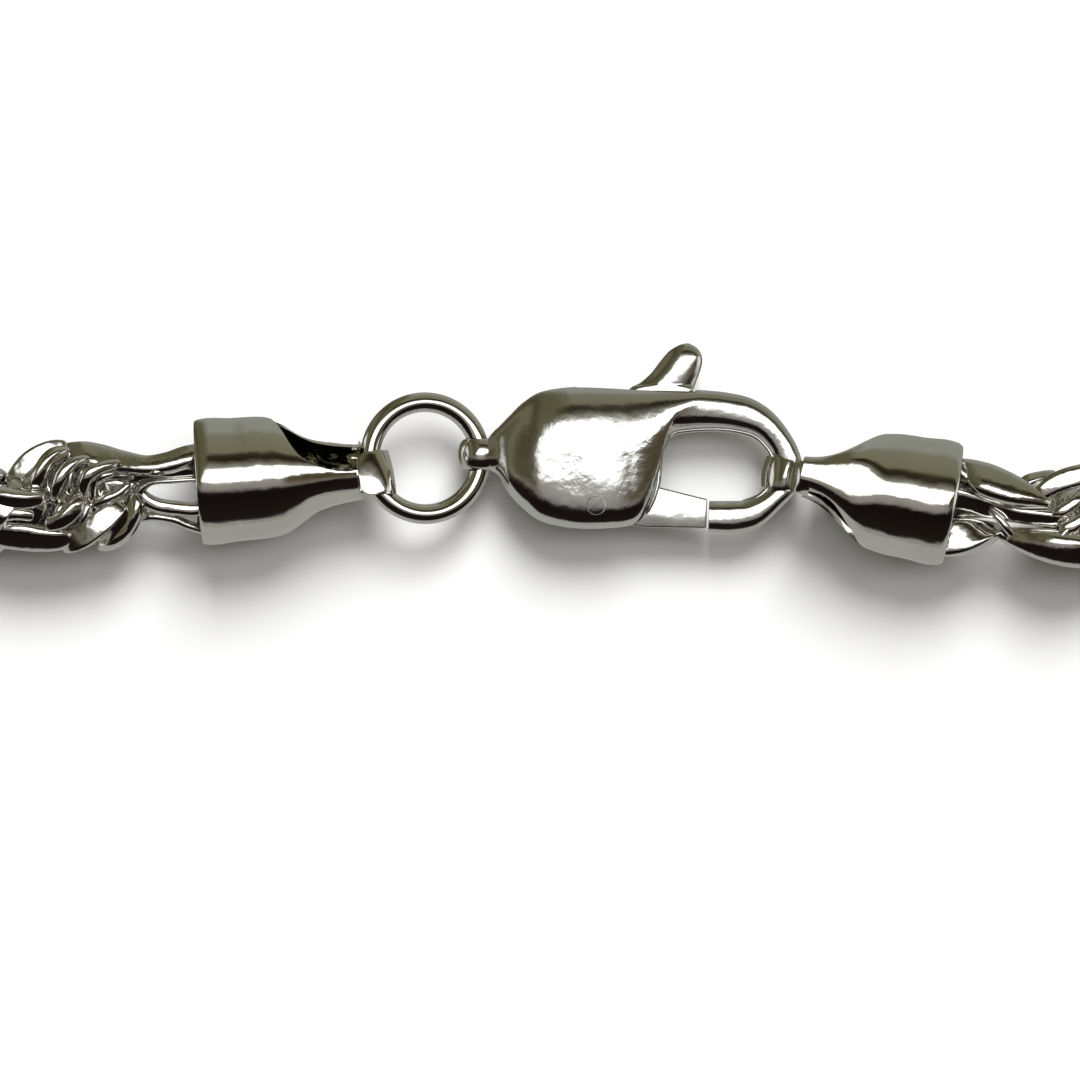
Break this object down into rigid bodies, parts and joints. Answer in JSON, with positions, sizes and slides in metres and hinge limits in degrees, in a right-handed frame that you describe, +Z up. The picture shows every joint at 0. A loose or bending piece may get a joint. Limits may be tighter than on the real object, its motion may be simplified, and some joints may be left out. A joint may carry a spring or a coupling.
{
  "type": "rope chain necklace",
  "caption": "Closed rope chain of twisted round links, ending in two sheet metal caps joined by a jump ring and a lobster clasp with a sprung lever.",
  "frame": {"origin": "bottom centre of the bounding box, on the surface that the closed loop lies on", "axes": "+X along the closure, from the cap with the jump ring to the cap in the clasp; +Y from the loop's middle to the closure; +Z up"},
  "size_m": [0.2244, 0.1753, 0.0057],
  "materials": {
    "link_metal": "polished and diamond cut",
    "cap_metal": "polished",
    "wire_metal": "polished",
    "clasp_metal": "polished"
  },
  "bodies": {
    "necklace": {"rope": "link_metal", "ring_cap": "cap_metal", "hook_cap": "cap_metal", "jump_ring": "wire_metal", "clasp_body": "clasp_metal", "clasp_rivet": "clasp_metal"},
    "lever": {"clasp_lever": "clasp_metal"}
  },
  "joints": [
    {"name": "lever_pivot", "type": "hinge", "parent": "necklace", "child": "lever", "pos_m": [0.00095, 0.08014, 0.0019], "axis": [0, 0, 1], "range_deg": [0, 22], "stiffness_Nm_per_rad": 0.0005, "springref_deg": -17.19}
  ]
}
